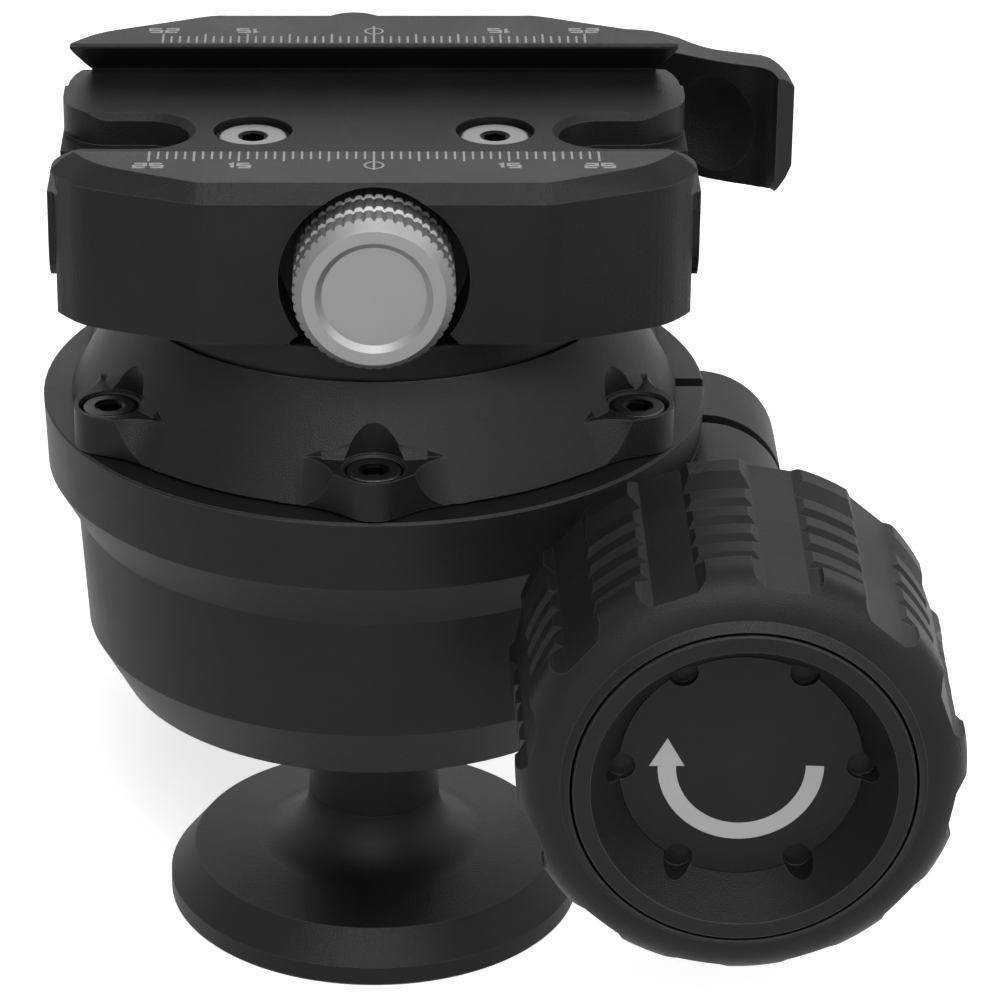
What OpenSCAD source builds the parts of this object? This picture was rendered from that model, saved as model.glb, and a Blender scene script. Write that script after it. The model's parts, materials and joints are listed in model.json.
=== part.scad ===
// Inverted tripod ball head with a panning dovetail clamp.
// Millimetres. Origin at the centre of the base's underside, +Z up,
// the locking knob on the -Y side at +X, the dovetail channel along X.

/* [Base and ball] */
// Radius of the base disc
base_r = 25.1; // [24.6:0.1:26]
// Height of the base disc's straight wall
base_wall_h = 2.55; // [2:0.05:3]
// Radius of the post between base and ball
post_r = 7.95; // [7.5:0.05:7.95]
// Radius of the ball
ball_r = 25; // [24.6:0.1:25]
// Height of the ball's centre above the underside
ball_z = 51.5; // [51.3:0.1:51.6]
// Radius of the tripod thread's bore
thread_r = 3.97; // [3.9:0.01:4.2]

/* [Housing and dome] */
// Radius of the housing's top rim
rim_r = 38.95; // [38.8:0.05:39.4]
// Height of the housing's top rim
rim_z = 67.95; // [67.9:0.05:68.1]
// Radius of the barrel that holds the clamping bolt
barrel_r = 9.85; // [9:0.05:10]
// Width of the clamping slit
slit_w = 2.35; // [1.5:0.05:3]
// Radius of the screw circle on the dome
lug_pcd_r = 34.9; // [34.7:0.1:35.1]
// Radius of the boss round each dome screw
lug_r = 4.1; // [4:0.1:4.5]
// Height of the flat shelf under each dome screw
shelf_z = 72.9; // [72.5:0.1:73.3]

/* [Locking knob] */
// Outer radius of the knob
knob_r = 24; // [23.8:0.1:24.2]
// Number of flutes round the knob
flutes = 12; // [10:1:13]
// Distance of the flute floor from the axis at the back
flute_back_r = 23.25; // [22.8:0.05:23.4]
// Distance of the flute floor from the axis at the front
flute_front_r = 22.6; // [22:0.05:22.8]
// Half width of the flute floor
flute_half_w = 2.4; // [2:0.01:2.6]
// Radius of the dial's face plate
dial_r = 13; // [12.6:0.1:13.1]
// Radius of the six pockets in the dial
dial_pocket_r = 1.6; // [1.2:0.1:1.7]

/* [Clamp] */
// Height of the clamp's top face
clamp_top = 103.85; // [103.6:0.05:104.2]
// Height of the channel's floor
floor_z = 99.6; // [99.4:0.05:99.8]
// Distance of the fixed jaw's lip from the middle
lip_y = 17.9; // [17.6:0.05:18.2]
// Distance of the two clamp screws from the middle
screw_x = 13.95; // [13.8:0.05:14.1]
// Distance of each end slot's closed end from the middle
slot_x = 20.5; // [20:0.1:21.5]
// Half width of the end slots
slot_r = 5.2; // [4.5:0.1:5.4]
// Radius of the panning lock knob
pan_knob_r = 9; // [8.6:0.1:9.2]
// Number of knurls round the panning lock knob
knurls = 48; // [36:2:56]

/* [Hidden] */

fit = 0.05;
lug_angles = [-90, -30, 30, 90, 150, 210];
dome_z = 68.25;
dome_slope = 0.556;
dome_open_r = 28.73;
kx = 39;
kz = 53.4;
slit_y = -0.25;
pan_z = 92.85;
pin_x = 17;
pin_z = 90;
lever_x = -2.4;
lever_y = 24.9;
crank_e = 1.96;
crank_a = 130;
tie_x = -4;
tie_z = 92.5;

// ---------- shared helpers ----------

// A cylinder along -Y that starts at y0 and is l long, on the knob's axis
module knob_cyl(r, y0, l) {
  translate([kx, y0, kz]) rotate([90, 0, 0]) cylinder(r = r, h = l, $fn = 96);
}

// Revolves a profile of [radius, depth] points about the knob's axis, depth along -Y
module knob_turn(pts) {
  translate([kx, 0, kz]) rotate([90, 0, 0]) rotate_extrude($fn = 120) polygon(pts);
}

// A cap screw pointing down with its seat at z = 0
module cap_screw(head_r, head_h, hex_r, shank_r, shank_l) {
  difference() {
    cylinder(r = head_r, h = head_h, $fn = 48);
    translate([0, 0, head_h - 1.3]) cylinder(r = hex_r, h = 2, $fn = 6);
  }
  translate([0, 0, -shank_l]) cylinder(r = shank_r, h = shank_l + 0.1, $fn = 32);
}

// Radius of the dome's cone at height z
function dome_r(z) = 35.76 - dome_slope * (z - 68);

function mirrored(p) = concat(p, [for (i = [len(p) - 1:-1:0]) [-p[i][0], p[i][1]]]);

// Point on a Catmull-Rom curve through the points p, segment i, fraction t
function cr(p, i, t) =
  let (a = p[max(i - 1, 0)], b = p[i], c = p[i + 1], d = p[min(i + 2, len(p) - 1)])
  0.5 * (2 * b + (c - a) * t + (2 * a - 5 * b + 4 * c - d) * t * t
    + (3 * b - a - 3 * c + d) * t * t * t);
function curve(p, n) = concat(
  [for (i = [0:len(p) - 2], k = [0:n - 1]) cr(p, i, k / n)], [p[len(p) - 1]]);

// ---------- base ----------

module base_disc() {
  color([0.09, 0.09, 0.095])
  rotate_extrude($fn = 120) difference() {
    polygon([[6.9, 0], [base_r - 0.3, 0], [base_r, 0.3], [base_r, base_wall_h],
      [base_r - 3, 6.3], [14.3, 7.1], [14.3, 13.4], [8, 13.4], [8, 13.6],
      [6.05, 13.6], [6.05, 12.1], [6.8, 12.1], [6.8, 11.3], [6.05, 11.3],
      [6.05, 10.3], [6.9, 10.3]]);
    translate([14.3, 13.4]) circle(r = 6.3, $fn = 96);
    translate([9, -1]) square([5, 1.4]);
  }
}

module thread_bush() {
  color([0.6, 0.6, 0.62])
  rotate_extrude($fn = 96) polygon([[thread_r, 0], [6.65, 0], [6.88, 0.23], [6.88, 10.2],
    [thread_r, 10.2]]);
}

module stem_ring() {
  color([0.35, 0.35, 0.36])
  difference() {
    translate([0, 0, 11.35]) cylinder(r = 6.75, h = 0.7, $fn = 64);
    translate([0, 0, 11]) cylinder(r = 5.35, h = 2, $fn = 64);
    translate([0, 5, 11]) translate([-1.5, -1, 0]) cube([3, 4, 2]);
  }
}

module ball_stem() {
  color([0.12, 0.12, 0.125]) {
    translate([0, 0, ball_z]) sphere(r = ball_r, $fn = 128);
    translate([0, 0, 13.65]) cylinder(r = post_r, h = 18, $fn = 96);
    rotate_extrude($fn = 96) polygon([[0, 10.45], [5.7, 10.45], [6, 10.75], [6, 11.3],
      [5.3, 11.3], [5.3, 12.1], [6, 12.1], [6, 13.8], [0, 13.8]]);
  }
}

// ---------- seats round the ball ----------

module upper_seat() {
  color([0.82, 0.8, 0.74])
  rotate_extrude($fn = 120) difference() {
    polygon([[14, 53], [28.6, 53], [28.6, 66], [26, 70], [14, 70]]);
    translate([0, ball_z]) circle(r = ball_r + fit, $fn = 128);
  }
}

module lower_seat() {
  color([0.82, 0.8, 0.74])
  difference() {
    rotate_extrude($fn = 120) difference() {
      polygon([[18, 39.55], [28.6, 39.55], [28.6, 50.5], [18, 50.5]]);
      translate([0, ball_z]) circle(r = ball_r + fit, $fn = 128);
    }
    translate([10, slit_y - slit_w / 2, 35]) cube([30, slit_w, 20]);
  }
}

module seat_spring() {
  color([0.55, 0.55, 0.57])
  translate([0, 0, 70.2]) difference() {
    cylinder(r = 27, h = 1, $fn = 96);
    translate([0, 0, -1]) cylinder(r = 20, h = 3, $fn = 96);
  }
}

// ---------- housing ----------

module housing() {
  color([0.1, 0.1, 0.105])
  difference() {
    union() {
      rotate_extrude($fn = 120) polygon([[10, 32.1], [30.25, 31.9], [30.55, 32.1],
        [34.3, 38.8], [35.3, 53.7], [38.6, 59.5], [rim_r, rim_z - 0.25],
        [rim_r - 0.25, rim_z], [10, rim_z]]);
      translate([kx, 14.3, kz]) rotate([90, 0, 0]) rotate_extrude($fn = 96) polygon([[0, 0],
        [barrel_r - 0.4, 0], [barrel_r, 0.4], [barrel_r, 45.9], [barrel_r - 1.4, 47.3],
        [barrel_r - 1.4, 52.6], [0, 52.6]]);
    }
    // cavity for the ball, its seats and the dome's spigot
    rotate_extrude($fn = 120) polygon([[0, 31], [26.9, 31], [26.5, 31.9], [22.3, 39.5],
      [28.65, 39.5], [28.65, 64.4], [32.05, 64.4], [32.05, 70], [0, 70]]);
    // clamping slit
    translate([20, slit_y - slit_w / 2, 30]) cube([50, slit_w, 50]);
    // bolt: clearance in the front ear, thread in the rear ear
    knob_cyl(3.4, 1, 60);
    knob_cyl(3, 20, 22);
    // counterbore for the bolt's nut in the rear ear
    knob_cyl(5.6, 20, 9.9);
    for (a = lug_angles) rotate([0, 0, a]) translate([lug_pcd_r, 0, 59])
      cylinder(r = 1.5, h = 12, $fn = 32);
  }
}

// Plan of one lug: a boss with two flanks that widen into the dome, along +X
module lug_plan() {
  side = [[lug_pcd_r + lug_r * cos(42), lug_r * sin(42)], [36.1, 5.1], [35.1, 7.1],
    [34, 10.6]];
  translate([lug_pcd_r, 0]) circle(r = lug_r, $fn = 48);
  polygon(concat([[29.4, 0], [30.4, -10.6]], [for (i = [len(side) - 1:-1:0])
    [side[i][0], -side[i][1]]], [[lug_pcd_r, 0]], side, [[30.4, 10.6]]));
}

// Hollow flank of a lug: a cylinder laid along the dome's slope at angle a
module flank_cut(a) {
  tilt = atan(dome_slope);
  rotate([0, 0, a]) translate([dome_r(70), 0, 70]) rotate([0, -tilt, 0])
    translate([5.54, 0, -12]) cylinder(r = 5.6, h = 24, $fn = 96);
}

module dome_cap() {
  color([0.1, 0.1, 0.105])
  difference() {
    union() {
      rotate_extrude($fn = 120) polygon([[0, 76.9], [18, 76.9], [18, 71.4], [28.65, 71.4],
        [28.65, 64.75], [28.9, 64.45], [31.7, 64.45], [32, 64.75], [32, dome_z],
        [dome_r(dome_z) - 0.15, dome_z], [dome_r(dome_z + 0.12), dome_z + 0.12],
        [dome_r(80.4), 80.4], [dome_open_r + 0.06, 80.62], [dome_open_r, 80.56],
        [dome_open_r, 80], [0, 80]]);
      for (a = lug_angles) rotate([0, 0, a]) difference() {
        translate([0, 0, dome_z]) linear_extrude(shelf_z - dome_z) lug_plan();
        flank_cut(14.9);
        flank_cut(-14.9);
      }
    }
    for (a = lug_angles) rotate([0, 0, a]) {
      // shelf with a straight back wall, left filled in by a cove near the scoop
      for (s = [0, 1]) mirror([0, s, 0]) {
        translate([32, 5.9, shelf_z]) cube([9, 4, 9]);
        translate([33.85, 0, shelf_z]) cube([9, 6, 9]);
        translate([33.85, 0, shelf_z + 1.85]) rotate([-90, 0, 0]) cylinder(r = 1.85, h = 6, $fn = 64);
      }
      // scoop and seat for the screw's head
      translate([lug_pcd_r, 0, shelf_z]) cylinder(r = 3.95, h = 20, $fn = 64);
      translate([lug_pcd_r, 0, 70.2]) cylinder(r = 3.35, h = 10, $fn = 64);
      translate([lug_pcd_r, 0, shelf_z - 0.24]) cylinder(r1 = 3.35, r2 = 3.6, h = 0.25, $fn = 64);
      translate([lug_pcd_r, 0, 60]) cylinder(r = 1.7, h = 20, $fn = 32);
    }
    // threads for the spindle's screws
    for (a = [30, 150, 270]) rotate([0, 0, a]) translate([3.9, 0, 76])
      cylinder(r = 1.25, h = 6, $fn = 32);
  }
}

module dome_screws() {
  color([0.13, 0.13, 0.135])
  for (a = lug_angles) rotate([0, 0, a]) translate([lug_pcd_r, 0, 70.25]) rotate([0, 0, 30])
    cap_screw(3.1, 2.45, 1.44, 1.48, 10.5);
}

// ---------- clamping bolt and its pieces ----------

module clamping_bolt() {
  color([0.6, 0.6, 0.62]) {
    knob_cyl(2.98, 12.6, 75.6);
  }
}

module bolt_nut() {
  color([0.2, 0.2, 0.21])
  difference() {
    knob_cyl(5.5, 13.4, 3.2);
    knob_cyl(3, 20, 20);
  }
}

module thrust_washer() {
  color([0.75, 0.6, 0.3])
  difference() {
    knob_cyl(8.2, -38.5, 1.4);
    knob_cyl(3.1, -30, 20);
  }
}

// ---------- locking knob ----------

// Outer profile of the grip: [radius, distance along -Y]
function grip_outer() = [[23.8, 42], [knob_r, 42.25], [knob_r, 45.1],
  [23.25, 48.15], [23.72, 49.2], [23.7, 51.4], [23.15, 52.4], [23.62, 53.4],
  [23.6, 55.5], [23.06, 56.7], [23.5, 57.4], [23.5, 59.7], [22.98, 60.95],
  [23.42, 61.6], [23.4, 63.8], [22.89, 65.1], [knob_r, 66.25], [knob_r, 68.05]];

module knob_grip() {
  slope = atan((flute_back_r - flute_front_r) / 29.35);
  color([0.09, 0.09, 0.095])
  difference() {
    union() {
      knob_turn(concat([[20, 42]], grip_outer(), [[20, 68.05]]));
      translate([kx, 0, kz]) rotate([90, 0, 0]) rotate_extrude($fn = 120) intersection() {
        union() {
          translate([knob_r - 4.25, 68.05]) circle(r = 4.25, $fn = 96);
          translate([0, 60]) square([knob_r - 4.25, 12.3]);
        }
        translate([7.5, 61.5]) square([20, 11.3]);
      }
      // lip round the dial
      knob_turn([[18, 72], [19.39, 72], [19.39, 72.29], [18.52, 73.14], [18, 73.14]]);
      knob_turn([[7.5, 61.5], [21, 61.5], [21, 66], [7.5, 66]]);
    }
    knob_turn([[0, 65.3], [18.46, 65.3], [18.46, 76], [0, 76]]);
    knob_turn([[7.5, 30], [20.4, 30], [20.4, 42], [20, 42.5], [20, 59.5], [18, 61.5],
      [7.5, 61.5]]);
    knob_cyl(7.5, -30, 45);
    for (i = [0:flutes - 1]) translate([kx, 0, kz])
      rotate([0, 10.1 + i * 360 / flutes, 0]) translate([0, -42, flute_back_r])
      rotate([slope, 0, 0]) rotate([90, 0, 0])
      translate([0, 0, -3]) linear_extrude(36)
      polygon(mirrored([for (p = [[0, 0], [1, 0.5], [1.25, 0.7], [1.45, 1.1], [1.9, 1.9],
        [1.9, 3]]) [flute_half_w + p[0], p[1]]]));
  }
}

module knob_hub() {
  color([0.62, 0.62, 0.64])
  knob_turn([[3.05, 40.2], [7, 40.2], [7.48, 40.7], [7.48, 64.2], [4.2, 64.2], [4, 64.4],
    [4, 66.63], [3.6, 66.63], [3.6, 66.93], [4, 66.93], [4, 67.15], [3.05, 67.15]]);
}

module dial_bowl() {
  color([0.08, 0.08, 0.085])
  difference() {
    knob_turn([[4.05, 65.65], [18.15, 65.65], [18.15, 73.2], [18, 73.35], [16.26, 73.4],
      [dial_r + 0.07, 67.95], [dial_r + 0.07, 67.2], [7, 67.2], [7, 66.6], [4.05, 66.6]]);
    for (a = [0:60:300]) translate([kx, 0, kz]) rotate([0, a, 0]) translate([12.85, -66.95, 0])
      rotate([90, 0, 0]) cylinder(r = dial_pocket_r, h = 10, $fn = 48);
  }
}

module dial_cap() {
  color([0.1, 0.1, 0.105])
  difference() {
    knob_turn([[0, 67.25], [dial_r, 67.25], [dial_r, 67.96], [dial_r - 0.04, 68], [0, 68]]);
    for (a = [0:60:300]) translate([kx, 0, kz]) rotate([0, a, 0]) translate([12.85, -66, 0])
      rotate([90, 0, 0]) cylinder(r = dial_pocket_r, h = 10, $fn = 48);
  }
}

module dial_ring() {
  color([0.4, 0.4, 0.41])
  knob_turn([[3.65, 66.66], [6.2, 66.66], [6.2, 66.9], [3.65, 66.9]]);
}

// ---------- panning ----------

module pan_spindle() {
  color([0.55, 0.55, 0.57])
  difference() {
    rotate_extrude($fn = 96) polygon([[0, 80.02], [7, 80.02], [7, 85.35], [10.4, 85.35],
      [10.4, 88.3], [7.5, 88.6], [7.5, 90], [6.9, 90.3], [6.9, 95.4], [7.5, 95.7],
      [7.2, 96.2], [0, 96.2]]);
    for (a = [30, 150, 270]) rotate([0, 0, a]) translate([3.9, 0, 0]) {
      translate([0, 0, 84]) cylinder(r = 2.2, h = 20, $fn = 48);
      translate([0, 0, 75]) cylinder(r = 1.3, h = 20, $fn = 32);
    }
  }
}

module spindle_screws() {
  color([0.3, 0.3, 0.31])
  for (a = [30, 150, 270]) rotate([0, 0, a]) translate([3.9, 0, 84])
    cap_screw(2.1, 2.4, 1.1, 1.24, 6.8);
}

module pan_washer() {
  color([0.85, 0.83, 0.78])
  translate([0, 0, 80.01]) difference() {
    cylinder(r = 27.5, h = 0.28, $fn = 96);
    translate([0, 0, -1]) cylinder(r = 10, h = 3, $fn = 96);
  }
}

module pan_rotor() {
  color([0.1, 0.1, 0.105])
  difference() {
    rotate_extrude($fn = 120) polygon([[7.05, 80.34], [28.2, 80.34], [28.4, 80.54],
      [28.4, 84.2], [28.2, 84.4], [24, 84.4], [24, 85.3], [7.05, 85.3]]);
    for (s = [-1, 1]) translate([s * screw_x, 0, 79]) cylinder(r = 2, h = 10, $fn = 48);
    // room for the panning lock knob
    translate([0, -21.5, pan_z]) rotate([90, 0, 0])
      cylinder(r = pan_knob_r + 0.35, h = 10, $fn = 96);
  }
}

// ---------- clamp body with the fixed jaw ----------

// Half outline of the fixed jaw: under the bevel, and at the top
function jaw_low() = curve([[17.6, -28.95], [19.6, -28.85], [23.2, -27.5], [28.3, -25.5],
  [31.6, -24.05], [33.2, -22.9], [34.4, -21.5], [35.6, -19.85], [36.4, -18]], 3);
function jaw_high() = curve([[17.4, -27.26], [19.5, -27.15], [23, -25.6], [27, -23.7],
  [29.5, -22.4], [30.8, -21.4], [31.9, -20.2], [32.8, -19], [33.5, -lip_y]], 3);

module clamp_body() {
  color([0.11, 0.11, 0.115])
  difference() {
    union() {
      // block between the jaws
      translate([0, 0, 85.3]) linear_extrude(floor_z + 0.4 - 85.3)
        polygon(mirrored(concat([for (p = jaw_low()) if (p[0] < 35.6) p],
          [[35.65, -19.7], [35.65, 8], [36.2, 10], [36.2, 14], [36, 16.5], [35.5, 18.6], [34.7, 20.3]])));
      // pads on both ends
      for (s = [0, 1]) mirror([s, 0, 0]) translate([34.9, 0, 0]) rotate([90, 0, 90])
        linear_extrude(1.6) polygon(concat([[14.8, floor_z], [-19.2, floor_z]],
          [for (a = [180:15:270]) [-14.2 + 5 * cos(a), 93 + 5 * sin(a)]],
          [for (a = [270:15:360]) [9.8 + 5 * cos(a), 93 + 5 * sin(a)]]));
      // fixed jaw up to the bevel, then the bevel
      translate([0, 0, floor_z - 2]) linear_extrude(101.9 - floor_z + 2)
        polygon(mirrored(concat(jaw_low(), [[36.4, -17.9]])));
      hull() {
        translate([0, 0, 101.85]) linear_extrude(0.05)
          polygon(mirrored(concat(jaw_low(), [[36.4, -lip_y]])));
        translate([0, 0, clamp_top - 0.01]) linear_extrude(0.01)
          polygon(mirrored(jaw_high()));
        for (x = [-36.52, 36.48]) translate([x, -lip_y - 0.04, 102.18]) cube(0.04);
      }
    }
    // dovetail channel
    translate([-50, 0, 0]) rotate([90, 0, 90]) linear_extrude(100)
      polygon([[-lip_y, 110], [-lip_y, clamp_top - 0.5], [-20.4, 99.95], [-20.2, floor_z],
        [30, floor_z], [30, 110]]);
    // counterbores and holes of the clamp screws
    for (s = [-1, 1]) translate([s * screw_x, 0, 0]) {
      translate([0, 0, 96.4]) cylinder(r = 4.3, h = 10, $fn = 64);
      translate([0, 0, floor_z - 1.2]) cylinder(r = 4.57, h = 10, $fn = 64);
      translate([0, 0, 80]) cylinder(r = 2.15, h = 30, $fn = 48);
    }
    // end slots, open at the ends
    for (s = [0, 1]) mirror([s, 0, 0]) {
      translate([slot_x + 0.8 + slot_r, 0, 95.7]) cylinder(r = slot_r, h = 10, $fn = 64);
      translate([slot_x + 0.8 + slot_r, -slot_r, 95.7]) cube([20, 2 * slot_r, 10]);
      translate([slot_x + 0.8 + slot_r, 0, floor_z - 0.8])
        cylinder(r1 = slot_r, r2 = slot_r + 0.9, h = 0.9, $fn = 64);
      translate([slot_x + 0.8 + slot_r, 0, 93]) cylinder(r = 3.6, h = 10, $fn = 64);
      translate([slot_x + 0.8 + slot_r, -3.6, 93]) cube([20, 7.2, 10]);
      // chamfer along the slot's sides and the flare at its mouth
      translate([slot_x + 0.8 + slot_r, 0, floor_z - 0.8]) rotate([90, 0, 90])
        linear_extrude(20) polygon([[-slot_r, 0], [slot_r, 0], [slot_r + 0.9, 0.9],
          [-slot_r - 0.9, 0.9]]);
      for (t = [0, 1]) mirror([0, t, 0]) translate([0, 0, 95.7]) linear_extrude(10) difference() {
        translate([30.5, slot_r - 0.1]) square([6.2, 6.1]);
        translate([30.5, slot_r + 6]) circle(r = 6, $fn = 64);
      }
    }
    // pocket over the spindle
    translate([0, 0, 80]) cylinder(r = 10.8, h = 9, $fn = 96);
    translate([0, 0, 80]) cylinder(r = 7.9, h = 16.8, $fn = 96);
    // recess for the panning lock knob, open at the front and below
    translate([0, -21.5, pan_z]) rotate([90, 0, 0]) cylinder(r = 10.6, h = 20, $fn = 96);
    translate([0, -21.5, 0]) rotate([90, 0, 0]) linear_extrude(20)
      polygon(mirrored([[9.4, 80], [9.4, 85.5], [8.2, 86.6], [8.2, 90]]));
    // hole of the panning lock screw
    translate([0, 0, pan_z]) rotate([90, 0, 0]) cylinder(r = 2.55, h = 40, $fn = 48);
    // guide pins, springs and tie bolt of the sliding jaw
    for (s = [-1, 1]) translate([s * pin_x, 0, pin_z]) rotate([-90, 0, 0]) {
      translate([0, 0, 9]) cylinder(r = 2, h = 20, $fn = 48);
      translate([0, 0, 14]) cylinder(r = 3.3, h = 20, $fn = 48);
    }
    translate([tie_x, 10, tie_z]) rotate([-90, 0, 0]) cylinder(r = 1.5, h = 20, $fn = 48);
    translate([tie_x, 17, tie_z]) rotate([-90, 0, 0]) cylinder(r = 2, h = 20, $fn = 48);
  }
}

module clamp_screws() {
  color([0.75, 0.75, 0.77])
  for (s = [-1, 1]) translate([s * screw_x, 0, 96.42]) cap_screw(4, 2.5, 1.7, 1.98, 15.9);
}

module guide_pins() {
  color([0.6, 0.6, 0.62])
  for (s = [-1, 1]) translate([s * pin_x, 9.1, pin_z]) rotate([-90, 0, 0])
    cylinder(r = 1.99, h = 17.2, $fn = 48);
}

module jaw_springs() {
  color([0.5, 0.5, 0.52])
  for (s = [-1, 1]) translate([s * pin_x, 14.1, pin_z]) rotate([-90, 0, 0]) difference() {
    cylinder(r = 3.05, h = 8.1, $fn = 48);
    translate([0, 0, -1]) cylinder(r = 2.35, h = 12, $fn = 48);
  }
}

module tie_bolt() {
  e = lever_y + crank_e * sin(crank_a);
  color([0.6, 0.6, 0.62])
  difference() {
    union() {
      translate([tie_x, 10.2, tie_z]) rotate([-90, 0, 0])
        cylinder(r = 1.49, h = e - 10.2 - 1.8, $fn = 48);
      translate([tie_x, e, tie_z - 1.2]) linear_extrude(2.4) {
        translate([-0.5, 0]) circle(r = 2.45, $fn = 48);
        translate([0.5, 0]) circle(r = 2.45, $fn = 48);
        translate([-0.5, -2.45]) square([1, 4.9]);
      }
    }
    translate([tie_x, e, tie_z - 3]) linear_extrude(6) {
      translate([-0.45, 0]) circle(r = 1.58, $fn = 48);
      translate([0.45, 0]) circle(r = 1.58, $fn = 48);
      translate([-0.45, -1.58]) square([0.9, 3.16]);
    }
  }
}

// ---------- panning lock ----------

module pan_knob() {
  color([0.62, 0.62, 0.63])
  translate([0, 0, pan_z]) rotate([90, 0, 0]) difference() {
    rotate_extrude($fn = 96) polygon([[2.5, 22.2], [8.2, 22.2], [pan_knob_r, 23],
      [pan_knob_r, 25.6], [8.4, 26], [8.4, 26.4], [pan_knob_r, 26.8], [pan_knob_r, 29.2],
      [8.4, 29.6], [8.4, 30], [pan_knob_r, 30.4], [pan_knob_r, 32.6], [7.93, 34],
      [6.5, 34], [5.8, 33.4], [0, 33.1], [0, 31], [2.5, 31]]);
    for (i = [0:knurls - 1]) rotate([0, 0, i * 360 / knurls]) translate([pan_knob_r + 0.12, 0, 22])
      rotate([0, 0, 45]) translate([-0.3, -0.3, 0]) cube([0.6, 0.6, 12]);
  }
}

module pan_screw() {
  color([0.55, 0.55, 0.57])
  translate([0, -30.9, pan_z]) rotate([-90, 0, 0]) cylinder(r = 2.5, h = 21.6, $fn = 48);
}

module brake_pad() {
  color([0.72, 0.56, 0.26])
  translate([0, -9.2, pan_z]) rotate([-90, 0, 0]) cylinder(r = 2.45, h = 1.7, $fn = 48);
}

// ---------- sliding jaw and lever ----------

module rear_jaw() {
  color([0.11, 0.11, 0.115])
  difference() {
    intersection() {
      // section through the jaw
      translate([-50, 0, 0]) rotate([90, 0, 90]) linear_extrude(100)
        polygon([[20.4, 85.6], [40, 85.6], [40, clamp_top], [17.6, clamp_top],
          [17.4, clamp_top - 0.3], [17.4, clamp_top - 0.55], [20.2, 99.9], [20.4, 99.7]]);
      // plan of the jaw, with the lever's boss
      union() {
        translate([0, 0, 80]) linear_extrude(30)
          polygon(mirrored(curve([[17.6, 27.5], [19.6, 27.35], [24, 25.4], [30.7, 22.4],
            [32.8, 21.1], [33.9, 20.1], [35, 18.8], [36, 17.4], [36.1, 16]], 3)));
        translate([lever_x, lever_y, 80]) cylinder(r = 3.8, h = 30, $fn = 64);
      }
    }
    // slot in which the lever swings
    translate([lever_x, lever_y, 87.9]) cylinder(r = 4.2, h = 9.2, $fn = 64);
    translate([-9.5, 23.4, 87.9]) cube([17, 10, 9.2]);
    // bores of the pivot pins, the guide pins and the tie bolt
    translate([lever_x, lever_y, 84]) cylinder(r = 2, h = 18, $fn = 48);
    for (s = [-1, 1]) translate([s * pin_x, 20, pin_z]) rotate([-90, 0, 0]) {
      cylinder(r = 2.05, h = 6.6, $fn = 48);
      cylinder(r = 3.3, h = 2.4, $fn = 48);
    }
    translate([tie_x, 18, tie_z]) rotate([-90, 0, 0]) cylinder(r = 2, h = 8, $fn = 48);
    translate([tie_x - 3.4, 20.2, tie_z - 2]) cube([6.8, 10, 4]);
  }
}

module pivot_pins() {
  color([0.6, 0.6, 0.62])
  translate([lever_x, lever_y, 0]) {
    translate([0, 0, 85.8]) cylinder(r = 1.99, h = 4.9, $fn = 48);
    translate([0, 0, 94.3]) cylinder(r = 1.99, h = 7.6, $fn = 48);
  }
}

// Control points of the lever's back and front edge, and of its side view
lever_back = [[-2, 28.8], [4, 31.6], [12, 35], [20, 37], [28.7, 37.4], [33, 36.2],
  [36.6, 33.7], [38.6, 31.3], [41, 29.2], [44.5, 27.8], [47.4, 26.6], [49.4, 24],
  [50.3, 21.2]];
lever_front = [[48.2, 19.6], [47.6, 21.5], [46, 22.9], [43, 24.1], [40, 25.6],
  [36.8, 27.6], [33, 29.4], [28, 31], [20, 31.8], [12, 30.8], [5, 28.2], [0, 25]];

module lever_arm() {
  color([0.11, 0.11, 0.115])
  difference() {
    union() {
      intersection() {
        translate([0, 0, 80]) linear_extrude(21)
          polygon(concat(curve(lever_back, 6), curve(lever_front, 6)));
        translate([0, 60, 0]) rotate([90, 0, 0]) linear_extrude(60)
          polygon(concat([[-10, 88.2], [14, 88.2], [24, 87], [34, 84.6], [40, 83.8]],
            [for (a = [-90:15:0]) [46.4 + 4.4 * cos(a), 90 + 6.3 * sin(a)]],
            [for (a = [0:15:90]) [46.6 + 4.2 * cos(a), 95.4 + 3.6 * sin(a)]],
            [[34, 99], [24, 98.2], [14, 96.8], [-10, 96.8]]));
      }
      translate([lever_x, lever_y, 88.2]) cylinder(r = 3.9, h = 8.6, $fn = 64);
    }
    // bores of the pivot pins and of the crank pin
    translate([lever_x, lever_y, 80]) cylinder(r = 2.05, h = 11, $fn = 48);
    translate([lever_x, lever_y, 94]) cylinder(r = 2.05, h = 10, $fn = 48);
    // gap round the eye of the tie bolt
    translate([lever_x, lever_y, tie_z - 1.6]) cylinder(r = 7, h = 3.2, $fn = 64);
    // thumb dish
    translate([35.3, 13.8, 91]) sphere(r = 14, $fn = 96);
  }
}

module crank_pin() {
  color([0.6, 0.6, 0.62])
  translate([lever_x + crank_e * cos(crank_a), lever_y + crank_e * sin(crank_a), 90.9])
    cylinder(r = 1.4, h = 3.2, $fn = 48);
}

base_disc();
thread_bush();
stem_ring();
ball_stem();
upper_seat();
lower_seat();
housing();
dome_cap();
dome_screws();
seat_spring();
clamping_bolt();
bolt_nut();
thrust_washer();
pan_spindle();
spindle_screws();
pan_washer();
knob_grip();
knob_hub();
dial_bowl();
dial_cap();
dial_ring();
pan_rotor();
clamp_body();
clamp_screws();
guide_pins();
jaw_springs();
tie_bolt();
pan_knob();
pan_screw();
brake_pad();
rear_jaw();
pivot_pins();
lever_arm();
crank_pin();
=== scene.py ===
"""Finishes, markings and fine detail for the ball head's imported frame."""

import json
import math

import bmesh
import bpy
from mathutils import Matrix, Vector

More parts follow.
